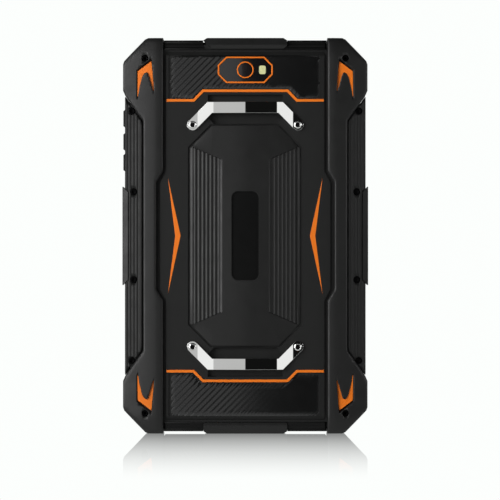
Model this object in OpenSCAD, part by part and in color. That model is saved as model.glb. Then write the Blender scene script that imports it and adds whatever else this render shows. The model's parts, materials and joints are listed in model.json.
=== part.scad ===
// Rugged eight-inch tablet data collector with two hand-strap brackets on its back.
// X runs to the right as seen from the back, Y runs from the brackets to the screen, Z runs up.
// The origin is below the middle of the case, on the surface that the tablet stands on.
// Heights named z_... are measured from the middle of the case, because its back is symmetric.

/* [Case] */
// Width over the corner bumpers
case_w = 139.8; // [138:0.2:144]
// Height over the corner bumpers
case_h = 226; // [222:0.5:230]
// Depth from the bracket bars to the front lips of the bumpers
case_d = 18; // [17.8:0.1:19]
// Thickness of the housing walls
wall = 1.5; // [1.2:0.1:1.8]

/* [Corner bumpers] */
// Horizontal run of each cut corner
corner_run_x = 13.7; // [13:0.1:15]
// Vertical run of each cut corner
corner_run_z = 14.5; // [14:0.1:16]
// Rubber over the side wall of the housing
bumper_t = 4.2; // [4:0.1:4.4]
// Inner edge of the bumper, from the middle
bumper_in = 46.9; // [46.5:0.1:47.5]
// Inner edge of the bumper at its waist, from the middle
bumper_waist = 50.9; // [50:0.1:52]
// Lowest point of the bumper's straight flank, from the middle
z_flank = 83; // [82:0.5:84]

/* [Side rails] */
// Inner edge of a rail, from the middle
rail_in = 58.4; // [58:0.1:59]
// Outer face of a rail, from the middle
rail_out = 68.8; // [68.4:0.1:69.2]
// Half length of the inner edge of a rail
z_rail_in = 65.5; // [64:0.5:67]
// Half length of the outer face of a rail
z_rail_out = 79.4; // [78:0.2:80]
// Number of grooves along the back of a rail
rail_grooves = 5; // [3:1:5]
// Half length of the rubber grip let into each rail
z_insert = 28.4; // [26:0.2:30]

/* [Palm pad] */
// Width of the pad
pad_w = 64.8; // [62:0.2:66]
// Height of the pad
pad_h = 126.6; // [124:0.2:128]
// Run of the cut corners of the pad
pad_corner = 12.8; // [11:0.1:14]
// Grooves in each ribbed field of the pad
pad_grooves = 6; // [4:1:6]
// Distance from groove to groove
pad_pitch = 2.28; // [2:0.01:2.3]
// Width of the blank label plate
label_w = 15.1; // [12:0.1:18]
// Height of the blank label plate
label_h = 50.6; // [40:0.1:60]

/* [Strap brackets] */
// Middle of the bracket bar, from the middle of the case
z_bar = 73.1; // [72.5:0.1:73.5]
// Lug screws, from the middle of the case, sideways
lug_x = 30; // [29:0.1:31]
// Width of the bracket's strip
strip_w = 6.3; // [6:0.1:6.6]
// Thickness of the bracket's strip
strip_t = 1.4; // [1.2:0.1:1.5]
// Height of the ridge across the middle of the bar
bar_ridge = 0.7; // [0.4:0.1:0.8]

/* [Orange trim] */
// Width of the trim lines
line_w = 1.5; // [1.4:0.05:1.9]
// Height of the outer stretches of a trim line, from the middle
z_line = 77.3; // [77:0.1:77.6]
// Height of the middle stretch of a trim line, from the middle
z_line_mid = 82.8; // [82.5:0.1:83]

/* [Camera] */
// Height of the camera, from the middle of the case
z_camera = 94.7; // [94:0.1:95.2]
// Width of the camera frame
camera_w = 31.4; // [30:0.2:33]
// Height of the camera frame
camera_h = 15.1; // [14.5:0.1:15.6]
// Outer radius of the lens ring
lens_ring_r = 4.76; // [4.5:0.02:5]
// Width of the orange line round the camera
frame_w = 0.85; // [0.7:0.05:1.2]
// Width of the orange ring round the lens
lens_ring_w = 0.65; // [0.5:0.05:0.9]
// Flash, sideways from the camera
flash_x = 9.8; // [9.4:0.1:10.2]
// Width of the flash window
flash_w = 3.8; // [3.4:0.1:4]
// Height of the flash window
flash_h = 4.9; // [4.5:0.1:5.2]

/* [Keys and port cover] */
// Height of the power key, from the middle of the case
z_power = 67.1; // [66.9:0.1:67.3]
// Height of the volume-up key, from the middle of the case
z_volume_up = 53.8; // [53.6:0.1:54]
// Height of the volume-down key, from the middle of the case
z_volume_down = 41.9; // [41.7:0.1:42.1]
// Length of a key
key_len = 10.5; // [10:0.1:10.6]
// Height of a key above the rail
key_proud = 1; // [0.8:0.1:1.2]
// Half width of the port cover at its top face
cap_half = 21.8; // [21.6:0.1:22]

/* [Display] */
// Width of the touch glass
glass_w = 122; // [121:0.2:122.6]
// Height of the touch glass
glass_h = 205; // [203:0.5:206]
// Corner radius of the touch glass
glass_r = 10; // [9.5:0.1:12]
// Width of the display module
lcd_w = 114.6; // [114:0.1:114.8]
// Height of the display module
lcd_h = 184.1; // [183:0.1:184.4]

/* [Hidden] */
$fn = 64;

half_w = case_w / 2;
half_h = case_h / 2;
mid_z = half_h;
gap = 0.1;
nil = 0.01;

// Depth levels of the back, from the bars inwards
y_rear = -case_d / 2;
y_crest = y_rear + 1.2;
y_pad = y_rear + 2.4;
y_rail = y_rear + 2.7;
y_trim = y_rear + 3.1;
y_cover = y_rear + 3.5;
y_inlay = y_rear + 4.1;
y_pad_seat = y_rear + 4.5;
y_ledge = y_rear + 4.7;
y_recess = y_rear + 6.4;
y_floor = y_ledge + wall;

// Depth levels of the front, from the lips inwards
y_front = case_d / 2;
y_bezel = y_front - 0.5;
y_glass = y_front - 0.8;
y_lip = y_front - 1.6;
y_glass_seat = y_front - 2;
y_flange = y_front - 2.8;
y_lcd = y_front - 4.8;
y_chassis = y_front - 6.4;
y_part = y_front - 6.6;
y_board = y_front - 8.35;
y_screw_tip = y_front - 4;

// Housing inside the rubber
core_half_w = half_w - bumper_t;
core_half_h = half_h - 4;
core_run_x = 11.2;
core_run_z = 11.9;
rim_w = 4.4;
edge_half = 46.4;
z_edge = half_h - 1.4;
field_half = bumper_in - 1.7;
field_waist = bumper_waist - 2.3;
z_field = half_h - 7.7;
z_waist = 30.4;
z_shoulder = 36.9;

// Screws
rail_screw_spots = [[63.7, 25.1], [64.8, 71.3]];
corner_screw_spot = [57.2, 101.3];
lug_z = z_bar - 9.8;

// Screws that hold the main board on the chassis
board_spots = [[-54, 52], [54, 52], [-42, 100], [34, 100]];

// Claw inlay of the top left corner
claw_hollow = [-55.9, 89.2];
claw_hollow_r = 3.6;

// Keys
y_key = -0.9;
key_w = 4.4;
key_heights = [z_power, z_volume_up, z_volume_down];
key_wall_x = rail_out - 3;
key_board_x = 62.9;

// Ports under the cover
usb_x = 0;
jack_x = -12;
card_x = 11.6;
y_port = -0.9;
y_jack = -0.6;
jack_bore_r = 1.75;
jack_half_t = 2.1;
cap_slant = 2.3;
z_cap = half_h - 6.2;
z_cap_floor = half_h - 3.2;
plug_depth = 0.4;

// Ribs of the textured panels
panel_rib_pitch = 3.65;
panel_rib_w = 1.1;

case_black = "#2b2c2d";
rubber_black = "#1f2021";
orange = "#f0762a";
steel = "#c9cbcd";
dark_steel = "#3c3d40";

// ---------- Shared shapes ----------

// Extrudes an outline drawn in X and Z, heights from the middle, between two depths
module slab(y_back, y_face)
  translate([0, y_face, mid_z])
    rotate([90, 0, 0])
      linear_extrude(y_face - y_back)
        children();

// Extrudes a section drawn in Y and Z across the case
module across(x0, x1)
  translate([x0, 0, mid_z])
    rotate([90, 0, 90])
      linear_extrude(x1 - x0)
        children();

// Round bar along the depth
module pin(x, z, r, y_back, y_face)
  translate([x, y_back, mid_z + z])
    rotate([-90, 0, 0])
      cylinder(h = y_face - y_back, r = r);

// Box between two corners, heights from the middle
module block(low, high)
  translate([low[0], low[1], mid_z + low[2]])
    cube(high - low);

module both_sides() {
  children();
  mirror([1, 0, 0])
    children();
}

module upside_down()
  translate([0, 0, case_h])
    mirror([0, 0, 1])
      children();

module top_and_bottom() {
  children();
  upside_down()
    children();
}

// Closes an outline given by its upper half
function with_lower_half(upper) =
  concat(upper, [for (i = [len(upper) - 1 : -1 : 0]) [upper[i][0], -upper[i][1]]]);

// Octagon with half width a, half height b and corner runs cx and cz
function octagon(a, b, cx, cz) = [
  [-a, b - cz], [cx - a, b], [a - cx, b], [a, b - cz],
  [a, cz - b], [a - cx, -b], [cx - a, -b], [-a, cz - b]
];

// Outline of the housing, moved inwards
function core_outline(inset = 0) = octagon(
  core_half_w - inset, core_half_h - inset, core_run_x - 0.586 * inset, core_run_z - 0.586 * inset
);

// The same outline with its corners cut further, so that it passes inside the corner screws
function rim_outline(inset) = octagon(
  core_half_w - inset, core_half_h - inset,
  core_run_x + 2.6 - 0.586 * inset, core_run_z + 2.6 - 0.586 * inset
);

function arc(centre, r, from, to, steps) = [
  for (i = [0 : steps])
    centre + r * [cos(from + (to - from) * i / steps), sin(from + (to - from) * i / steps)]
];

module rounded_rect(w, h, r)
  union() {
    square([w - 2 * r, h], center = true);
    square([w, h - 2 * r], center = true);
    for (sx = [-1, 1], sz = [-1, 1])
      translate([sx * (w / 2 - r), sz * (h / 2 - r)])
        circle(r);
  }

// Screw from the back, with a hexagon socket in its head
module screw(x, z, y_head, head_r, head_t, shank_r, y_tip)
  difference() {
    union() {
      pin(x, z, head_r, y_head, y_head + head_t);
      pin(x, z, shank_r, y_head + head_t - nil, y_tip);
    }
    translate([x, y_head - nil, mid_z + z])
      rotate([-90, 0, 0])
        cylinder(h = head_t * 0.6, r = head_r * 0.55, $fn = 6);
  }

// ---------- Outlines ----------

// Left bumper, from its waist over the top corner to the rail
bumper_outline = with_lower_half([
  [-bumper_waist, z_waist],
  [-bumper_in, z_shoulder],
  [-bumper_in, half_h],
  [-(half_w - corner_run_x), half_h],
  [-half_w, half_h - corner_run_z],
  [-half_w, z_flank],
  [-(rail_out - 0.4), z_rail_out + 0.2],
  [-(rail_in - gap), z_rail_in + gap]
]);

// Lower step along the inner edge of the left bumper
step_w = 1.5;
step_outline = with_lower_half([
  [step_w - bumper_waist, z_waist],
  [step_w - bumper_in, z_shoulder],
  [step_w - bumper_in, z_field],
  [-bumper_in - 6, z_field]
]);

// Middle of the back, between the feet of the two bumpers
field_outline = with_lower_half([
  [-field_waist, z_waist],
  [-field_half, z_shoulder],
  [-field_half, z_field],
  [field_half, z_field],
  [field_half, z_shoulder],
  [field_waist, z_waist]
]);

rail_outline = with_lower_half([
  [-rail_in, z_rail_in],
  [-(rail_out - 0.4), z_rail_out],
  [-rail_out, z_rail_out]
]);

// Grip let into the outer edge of the left rail
function insert_outline(play = 0) = with_lower_half([
  [play - 67.2, z_insert - 3.3 + play],
  [-half_w - 0.4 - play, z_insert + play]
]);

pad_outline = octagon(pad_w / 2, pad_h / 2, pad_corner, pad_corner);

// Ribbed field in the left half of the pad
pad_field = with_lower_half([[-30.1, 50.9], [-13.3, 43.6]]);

// Hollow that the strap passes through under the upper bar
recess_outline = [[-17.8, pad_h / 2 + 0.4], [-21.4, 67.5], [-21.4, 80.6], [21.4, 80.6],
                  [21.4, 67.5], [17.8, pad_h / 2 + 0.4]];

chevron_outline = [[-44.1, 32.9], [-36.9, 0], [-44.1, -32.9], [-40, 0]];

claw_outline = concat(
  [[-51.9, 83.1], [-53.6, 97.9], [-53.9, 99.4], [-61.3, 93.7], [-61.6, 79.4], [-60.8, 80.3]],
  arc(claw_hollow, claw_hollow_r, 186, 85, 6),
  [[-52.3, 82.5]]
);

// Trim line with its step up to the middle stretch
line_miter = line_w / 2 * tan(22.5);
function line_edge(side) = [
  [-field_half + 0.3, z_line + side * line_w / 2],
  [-29.5 - side * line_miter, z_line + side * line_w / 2],
  [-24.1 - side * line_miter, z_line_mid + side * line_w / 2],
  [24.1 + side * line_miter, z_line_mid + side * line_w / 2],
  [29.5 + side * line_miter, z_line + side * line_w / 2],
  [field_half - 0.3, z_line + side * line_w / 2]
];
function reversed(list) = [for (i = [len(list) - 1 : -1 : 0]) list[i]];
line_outline = concat(line_edge(1), reversed(line_edge(-1)));

panel_outline = [
  [-43.8, 103.1], [43.8, 103.1], [43.8, z_line + 1.2], [30, z_line + 1.2],
  [24.6, z_line_mid + 1.1], [-24.6, z_line_mid + 1.1], [-30, z_line + 1.2], [-43.8, z_line + 1.2]
];

function camera_outline(inset = 0) = [
  for (p = octagon(camera_w / 2 - inset, camera_h / 2 - inset, 4.85 - 0.586 * inset, 4.85 - 0.586 * inset))
    p + [0, z_camera]
];

// Strip of the upper bracket: lug, arm, bar, arm, lug
strip_miter = strip_w / 2 * tan(22.5);
bar_end = lug_x - (z_bar - lug_z);
bracket_outline = concat(
  [[-bar_end - strip_miter, z_bar + strip_w / 2], [bar_end + strip_miter, z_bar + strip_w / 2]],
  arc([lug_x, lug_z], strip_w / 2, 45, -135, 12),
  [[bar_end - strip_miter, z_bar - strip_w / 2], [-bar_end + strip_miter, z_bar - strip_w / 2]],
  arc([-lug_x, lug_z], strip_w / 2, -45, -225, 12)
);

// Port cover seen from the back, its left end cut back for a fingernail
cap_outline = [
  [-cap_half, half_h], [cap_half, half_h], [cap_half + cap_slant - gap, z_edge],
  [cap_half + cap_slant - gap, z_cap + 2], [cap_half, z_cap], [2 - cap_half, z_cap],
  [2 - cap_half, z_cap + 2], [-cap_half, z_cap + 2], [-cap_half - cap_slant + 0.6, z_edge]
];

// Room that the port cover needs in the edge trim
cap_room = [
  [-cap_half - cap_slant, half_h + 1], [cap_half + cap_slant, half_h + 1],
  [cap_half + cap_slant, z_cap - 0.5], [-cap_half - cap_slant, z_cap - 0.5]
];

// ---------- Housing ----------

module rear_cover()
  color(case_black)
    difference() {
      union() {
        slab(y_ledge, y_part)
          polygon(core_outline());
        slab(y_cover, y_ledge + nil)
          polygon(field_outline);
      }
      rear_cover_hollow();
      rear_cover_seats();
      rear_cover_holes();
      // Bevel along the top and bottom of the raised field
      top_and_bottom()
        across(-half_w, half_w)
          polygon([[y_cover - 1, z_field - 2.3], [y_cover, z_field - 2.3],
                   [y_ledge, z_field], [y_ledge, z_field + 1], [y_cover - 1, z_field + 1]]);
    }

// Inside of the cover, with its rim, bosses, key posts and the walls under the recesses kept
module rear_cover_hollow()
  difference() {
    union() {
      slab(y_floor, y_part - wall)
        polygon(core_outline(wall));
      slab(y_part - wall - nil, y_part + 1)
        polygon(rim_outline(rim_w));
      // Room for the jack under the rim
      block([jack_x - 3.2, y_floor, 90], [jack_x + 3.2, y_jack + jack_half_t + gap, core_half_h - wall]);
    }
    top_and_bottom()
      slab(y_ledge, y_recess + 1.3)
        polygon([[-24, 60], [24, 60], [24, 83], [-24, 83]]);
    screw_bosses();
    key_posts();
  }

module screw_bosses() {
  both_sides()
    top_and_bottom() {
      for (spot = rail_screw_spots)
        pin(spot[0], spot[1], 2, y_ledge, y_part);
      pin(corner_screw_spot[0], corner_screw_spot[1], 2.8, y_ledge, y_part);
      pin(lug_x, lug_z, 3, y_ledge, y_board - 0.3);
    }
}

// Posts that hold the key board against the side wall
module key_posts()
  for (z = [36, 47, 60])
    block([-key_board_x + 0.9, y_ledge, z - 1.5], [-key_board_x + 2, y_part - wall, z + 1.5]);

// Pockets in the back of the cover for the pieces let into it
module rear_cover_seats() {
  slab(y_cover - 1, y_pad_seat)
    polygon(octagon(pad_w / 2 + 0.3, pad_h / 2 + 0.3, pad_corner, pad_corner));
  both_sides()
    slab(y_cover - 1, y_inlay)
      polygon(chevron_outline);
  top_and_bottom() {
    slab(y_cover - 1, y_recess)
      polygon(recess_outline);
    slab(y_cover - 1, y_inlay)
      polygon(line_outline);
    slab(y_cover - 1, y_inlay)
      polygon(panel_outline);
  }
  slab(y_cover - 1, y_inlay + 0.3)
    polygon(camera_outline());
}

// Openings through the walls of the cover
module rear_cover_holes() {
  pin(0, z_camera, lens_ring_r - 0.2, y_cover, y_floor + 1);
  slab(y_cover, y_floor + 1)
    translate([flash_x, z_camera])
      square([flash_w - 0.4, flash_h - 0.4], center = true);
  both_sides()
    top_and_bottom() {
      for (spot = rail_screw_spots)
        pin(spot[0], spot[1], 0.85, y_ledge - 1, y_part + 1);
      pin(corner_screw_spot[0], corner_screw_spot[1], 1.05, y_ledge - 1, y_part + 1);
      pin(lug_x, lug_z, 1.05, y_cover - 1, y_board - 0.9);
    }
  for (z = key_heights)
    translate([-core_half_w - 1, y_key, mid_z + z])
      rotate([0, 90, 0])
        cylinder(h = 3, r = 1.15);
  port_openings(core_half_h - wall - 1, core_half_h + 1);
  seal_ring(0.05);
  speaker_slots(-core_half_h - 1, wall + 2);
}

// Openings of the three ports, between two heights
module port_openings(z0, z1) {
  translate([usb_x, y_port, mid_z + z0])
    linear_extrude(z1 - z0)
      rounded_rect(9.1, 3.3, 1.5);
  translate([jack_x, y_jack, mid_z + z0])
    cylinder(h = z1 - z0, r = 2);
  block([card_x - 6, y_board - 1.6, z0], [card_x + 6, y_board - 0.2, z1]);
}

// Slots that let the speaker's sound out at the bottom
module speaker_slots(z0, depth)
  for (i = [0 : 4])
    block([27 + 3.2 * i, -1.2, z0], [28.4 + 3.2 * i, 1.2, z0 + depth]);

module front_frame()
  color(case_black)
    difference() {
      union() {
        slab(y_part, y_bezel)
          polygon(core_outline());
        // Flanges that cover the front of the rails and of the edge trims
        slab(y_flange, y_bezel) {
          for (side = [0, 1])
            mirror([side, 0])
              polygon(rail_outline);
          square([2 * edge_half - 0.2, 2 * z_edge - 0.4], center = true);
        }
      }
      slab(y_part - 1, y_lcd - 0.2)
        polygon(octagon(61, 104.7, 13.8, 13.8));
      slab(y_lcd - 1, y_glass_seat + nil)
        square([lcd_w + 1, lcd_h + 1], center = true);
      slab(y_glass_seat, y_bezel + 1)
        rounded_rect(glass_w + 0.3, glass_h + 0.3, glass_r + 0.15);
      // Seats of the bumper lips
      both_sides()
        slab(y_lip, y_front + 1)
          difference() {
            polygon(bumper_outline);
            polygon(core_outline(3 + gap));
          }
      both_sides()
        top_and_bottom() {
          for (spot = rail_screw_spots)
            pin(spot[0], spot[1], 0.85, y_part - 1, y_screw_tip + 0.5);
          pin(corner_screw_spot[0], corner_screw_spot[1], 1.05, y_part - 1, y_screw_tip + 0.5);
        }
      // Window of the front camera
      pin(0, glass_h / 2 - 5, 2.4, y_lcd - 1, y_glass);
      seal_ring(0.05);
    }

// Rubber ring between the rear cover and the front frame, let into both
module seal_ring(play = 0)
  slab(y_part - 0.4 - play, y_part + 0.4 + play)
    difference() {
      polygon(rim_outline(rim_w - 1.3 - play));
      polygon(rim_outline(rim_w - 0.6 + play));
    }

module housing_seal()
  color("#5a5d60")
    seal_ring();

// Magnesium plate that carries the display, the board and the battery
module chassis()
  color("#8d9094")
    difference() {
      union() {
        slab(y_chassis, y_lcd - 0.2)
          polygon(octagon(60.7, 104.4, 14, 14));
        // Rim round the battery
        slab(y_chassis - 2.4, y_chassis + nil)
          difference() {
            square([98.4, 95], center = true);
            square([96, 92.6], center = true);
          }
        for (spot = board_spots)
          pin(spot[0], spot[1], 2.2, y_board + 1, y_chassis + nil);
      }
      for (spot = board_spots)
        pin(spot[0], spot[1], 0.85, y_board, y_lcd);
      // Slot for the display cable
      block([-14, y_chassis - 1, 50], [14, y_lcd, 53]);
      pin(0, glass_h / 2 - 5, 4, y_chassis - 1, y_lcd);
    }

// ---------- Rubber and plastic on the outside ----------

module bumper_left()
  color(rubber_black)
    difference() {
      intersection() {
        union() {
          slab(y_crest, y_ledge)
            polygon(bumper_outline);
          // Step down to the raised field of the cover
          slab(y_cover - 0.4, y_ledge)
            polygon(step_outline);
          slab(y_ledge - nil, y_front)
            difference() {
              polygon(bumper_outline);
              polygon(core_outline());
            }
          // Lips over the front corners
          slab(y_lip, y_front)
            difference() {
              polygon(bumper_outline);
              polygon(core_outline(3));
            }
        }
        bumper_side_section();
        bumper_end_section();
      }
      top_and_bottom() {
        slab(y_crest - 1, y_crest + 1.4)
          claw_recess();
        pin(-corner_screw_spot[0], corner_screw_spot[1], 1.9, y_crest - 1, y_crest + 2);
        pin(-corner_screw_spot[0], corner_screw_spot[1], 1.05, y_crest, y_ledge + 1);
      }
      // Clearance for the heads of the outer rail screws
      top_and_bottom()
        pin(-rail_screw_spots[1][0], rail_screw_spots[1][1], 1.75, y_crest - 1, y_ledge + 1);
    }

// Cross-section that rounds the back and the front of a bumper along its side
module bumper_side_section()
  linear_extrude(case_h)
    polygon([
      [-half_w, y_crest + 2.6], [1.3 - half_w, y_crest + 1], [5 - half_w, y_crest + 0.3],
      [11.5 - half_w, y_crest], [17 - half_w, y_crest + 0.2], [-bumper_in, y_crest + 0.8],
      [-bumper_in + 2, y_cover - 0.4], [-bumper_in + 2, y_front], [1 - half_w, y_front],
      [-half_w, y_front - 1]
    ]);

// Section that rounds the bumper towards the top and the bottom edge
module bumper_end_section()
  across(-half_w - 1, 0)
    polygon(concat(
      [[y_crest + 2.6, half_h], [y_crest + 1, half_h - 1.3], [y_crest, half_h - 5]],
      [[y_crest, 5 - half_h], [y_crest + 1, 1.3 - half_h], [y_crest + 2.6, -half_h]],
      [[y_front - 1, -half_h], [y_front, 1 - half_h], [y_front, half_h - 1], [y_front - 1, half_h]]
    ));

// Hollow of a claw inlay, deeper along its upper edge
module claw_recess() {
  polygon(claw_outline);
  translate([-0.35, 0.8])
    polygon(claw_outline);
}

module bumper_right()
  mirror([1, 0, 0])
    bumper_left();

// Rail with its grooves, without the openings for the keys
module rib_rail()
  difference() {
    intersection() {
      slab(y_rail, y_flange - gap)
        polygon(rail_outline);
      linear_extrude(case_h)
        polygon([
          [-rail_out, y_rail + 1.2], [0.9 - rail_out, y_rail], [-rail_in, y_rail],
          [-rail_in, y_ledge], [-core_half_w - gap, y_ledge], [-core_half_w - gap, y_flange],
          [-rail_out, y_flange]
        ]);
    }
    for (i = [0 : rail_grooves - 1])
      block([-rail_out + 1.45 + 1.88 * i, y_rail - 1, -half_h],
            [-rail_out + 2.15 + 1.88 * i, y_rail + 0.5, half_h]);
    for (y = [y_rail + 3.2, y_flange - 2.4])
      block([-rail_out - 1, y, -half_h], [-rail_out + 0.5, y + 0.7, half_h]);
    slab(y_rail - 1, y_flange + 1)
      polygon(insert_outline(gap));
    top_and_bottom()
      for (spot = rail_screw_spots) {
        pin(-spot[0], spot[1], 1.75, y_rail - 1, y_rail + 1.3);
        pin(-spot[0], spot[1], 0.85, y_rail, y_ledge + 1);
      }
  }

module rib_rail_left()
  color(case_black)
    difference() {
      rib_rail();
      for (z = key_heights) {
        // Opening for the cap, and the wider pocket for its collar
        key_bar(z, key_w + 0.3, key_len + 0.3, rail_out + 1, key_wall_x - 1);
        key_bar(z, key_w + 1.7, key_len + 1.5, key_wall_x + 1.15, key_wall_x - 1);
      }
    }

module rib_rail_right()
  color(case_black)
    mirror([1, 0, 0])
      rib_rail();

module side_insert()
  color(rubber_black)
    intersection() {
      slab(y_rail + 0.2, y_flange - 0.4)
        polygon(insert_outline());
      linear_extrude(case_h)
        polygon([
          [-half_w - 0.4, y_rail + 1.4], [-half_w + 0.8, y_rail + 0.2], [-66, y_rail + 0.2],
          [-66, y_flange - 0.4], [-half_w + 0.8, y_flange - 0.4], [-half_w - 0.4, y_flange - 1.6]
        ]);
    }

module side_insert_left()
  side_insert();

module side_insert_right()
  mirror([1, 0, 0])
    side_insert();

// Strip along the top or bottom edge, with room for the cover or guard in its middle
module edge_trim()
  difference() {
    union() {
      block([-edge_half, y_trim, core_half_h + nil], [edge_half, y_flange - gap, z_edge]);
      block([-field_half, y_trim, z_field + 0.3], [field_half, y_ledge, z_edge]);
    }
    slab(y_rear, y_flange - 1.9)
      difference() {
        polygon(cap_room);
        square([4 * cap_half, 2 * (core_half_h + 0.8)], center = true);
      }
    slab(y_rear, y_ledge + nil)
      polygon(cap_room);
    // Grooves along the back of the strip
    for (z = [z_edge - 1.9, z_edge - 3.9])
      block([-edge_half, y_trim - 1, z], [edge_half, y_trim + 0.5, z + 0.6]);
    // Slanted outer corners under the bumpers
    across(-edge_half - 1, edge_half + 1)
      polygon([[y_trim - 1, z_edge - 0.9], [y_trim + 0.9, z_edge + 1], [y_trim - 1, z_edge + 1]]);
  }

module top_edge_trim()
  color(rubber_black)
    difference() {
      edge_trim();
      // Window over the ports
      block([jack_x - 3, y_port - 2.4, core_half_h - 1], [card_x + 6.2, y_port + 2.8, z_edge]);
      // Seat of the cover's tether
      block([18.4, -2.2, core_half_h - 1], [21, 2.2, core_half_h + 2]);
    }

module bottom_edge_trim()
  color(rubber_black)
    difference() {
      upside_down()
        edge_trim();
      speaker_slots(-half_h, 6);
    }

module bottom_guard()
  color(rubber_black)
    intersection() {
      upside_down()
        difference() {
          slab(y_trim - 0.7, y_flange - 2)
            polygon([
              [-cap_half, half_h], [cap_half, half_h], [cap_half + cap_slant - gap, z_edge],
              [cap_half + cap_slant - gap, z_cap], [gap - cap_half - cap_slant, z_cap],
              [gap - cap_half - cap_slant, z_edge]
            ]);
          block([-half_w, y_ledge - gap, 0], [half_w, y_flange, core_half_h + 0.9]);
        }
      across(-half_w, half_w)
        polygon([[y_trim - 0.7, -half_h + 1.2], [y_trim + 0.5, -half_h], [y_flange, -half_h],
                 [y_flange, 0], [y_trim - 0.7, 0]]);
    }

// ---------- Pieces let into the back ----------

module palm_pad()
  color(rubber_black)
    difference() {
      intersection() {
        slab(y_pad, y_pad_seat - nil)
          polygon(pad_outline);
        // Bevelled long edges
        linear_extrude(case_h)
          polygon([
            [-pad_w / 2, y_pad_seat], [-pad_w / 2, y_pad + 0.7], [1.4 - pad_w / 2, y_pad],
            [pad_w / 2 - 1.4, y_pad], [pad_w / 2, y_pad + 0.7], [pad_w / 2, y_pad_seat]
          ]);
      }
      both_sides() {
        slab(y_pad - 1, y_pad + 0.35)
          polygon(pad_field);
        slab(y_pad - 1, y_pad + 1)
          intersection() {
            polygon(pad_field);
            for (i = [0 : pad_grooves - 1])
              translate([-28.9 + pad_pitch * i, -half_h])
                square([1.1, case_h]);
          }
      }
      slab(y_pad - 1, y_pad + 0.8)
        rounded_rect(label_w, label_h, 3.7);
    }

module label_plate()
  color("#17181a")
    slab(y_pad + 0.3, y_pad + 0.8 - nil)
      rounded_rect(label_w - 0.3, label_h - 0.3, 3.55);

// A panel with slanting ribs in the outline of its child, whose ribs are set out from the height z
module ribbed_panel(z) {
  slab(y_cover + 0.2, y_inlay - nil)
    children();
  slab(y_cover - 0.1, y_cover + 0.2 + nil)
    intersection() {
      children();
      for (i = [-16 : 16])
        translate([panel_rib_pitch * i, z])
          rotate(-45)
            square([panel_rib_w, 60], center = true);
    }
}

module texture_panel_top()
  color("#242526")
    ribbed_panel(z_camera)
      difference() {
        polygon(panel_outline);
        polygon(camera_outline(-0.2));
      }

module texture_panel_bottom()
  color("#242526")
    ribbed_panel(-z_camera)
      mirror([0, 1])
        polygon(panel_outline);

module trim_line_top()
  color(orange)
    slab(y_cover - 0.4, y_inlay - nil)
      polygon(line_outline);

module trim_line_bottom()
  upside_down()
    trim_line_top();

module chevron_left()
  color(orange)
    slab(y_cover - 0.1, y_inlay - nil)
      polygon(chevron_outline);

module chevron_right()
  mirror([1, 0, 0])
    chevron_left();

module claw_top_left()
  color(orange)
    slab(y_crest + 0.5, y_crest + 1.4 - nil)
      polygon(claw_outline);

module claw_top_right()
  mirror([1, 0, 0])
    claw_top_left();

module claw_bottom_left()
  upside_down()
    claw_top_left();

module claw_bottom_right()
  upside_down()
    claw_top_right();

// ---------- Camera ----------

module camera_frame()
  color(orange)
    slab(y_cover - 0.6, y_inlay + 0.3 - nil)
      difference() {
        polygon(camera_outline());
        polygon(camera_outline(frame_w));
      }

module camera_window()
  color("#0e0f11")
    difference() {
      slab(y_cover, y_inlay + 0.3 - nil)
        polygon(camera_outline(frame_w + 0.05));
      pin(0, z_camera, lens_ring_r + 0.05, y_cover - 1, y_inlay + 1);
      slab(y_cover - 1, y_inlay + 1)
        translate([flash_x, z_camera])
          rounded_rect(flash_w + 0.1, flash_h + 0.1, 1.05);
    }

module lens_ring()
  color(orange)
    difference() {
      pin(0, z_camera, lens_ring_r, y_cover - 0.7, y_inlay + 0.3);
      pin(0, z_camera, lens_ring_r - lens_ring_w, y_cover - 1, y_cover + 0.5);
      pin(0, z_camera, lens_ring_r - 1.5, y_cover, y_inlay + 1);
    }

module lens_glass()
  color("#101418")
    pin(0, z_camera, lens_ring_r - lens_ring_w - 0.05, y_cover - 0.3, y_cover + 0.5 - nil);

module camera_module()
  color("#33363a") {
    block([-4.3, y_floor + 0.1, z_camera - 4.3], [4.3, y_board - 0.4, z_camera + 4.3]);
    pin(0, z_camera, 3.1, y_cover + 0.7, y_floor + 0.1 + nil);
  }

module flash_lens()
  color("#f4f1d0")
    slab(y_cover - 0.3, y_inlay + 0.3 - nil)
      translate([flash_x, z_camera])
        rounded_rect(flash_w, flash_h, 1);

module flash_led()
  color("#e8e04a")
    block([flash_x - 1.1, y_floor - 0.7, z_camera - 1.1], [flash_x + 1.1, y_floor + 0.1, z_camera + 1.1]);

// ---------- Strap brackets ----------

module strap_bracket_top()
  color(steel)
    difference() {
      intersection() {
        slab(y_rear, y_cover)
          polygon(bracket_outline);
        linear_extrude(case_h)
          polygon(concat(bracket_bends(0), reversed(bracket_bends(strip_t))));
      }
      both_sides() {
        pin(lug_x, lug_z, 1.1, y_rear, y_cover + 1);
        pin(lug_x, lug_z, 2.1, y_rear, y_cover - strip_t + 0.7);
      }
    }

// Bent strip from lug to lug, seen along Z
function bracket_bends(inward) = [
  for (p = [[-34, y_cover - strip_t], [-27.2, y_cover - strip_t], [-18.1, y_rear + bar_ridge],
            [0, y_rear], [18.1, y_rear + bar_ridge], [27.2, y_cover - strip_t],
            [34, y_cover - strip_t]])
    p + [0, inward]
];

module strap_bracket_bottom()
  upside_down()
    strap_bracket_top();

// ---------- Screws ----------

module bracket_screws()
  color(steel)
    both_sides()
      top_and_bottom()
        screw(lug_x, lug_z, y_cover - strip_t - 0.3, 2.05, 1, 1, y_board - 1.1);

module corner_screws()
  color(dark_steel)
    both_sides()
      top_and_bottom()
        screw(corner_screw_spot[0], corner_screw_spot[1], y_crest + 0.7, 1.8, 1.3, 1, y_screw_tip);

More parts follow.
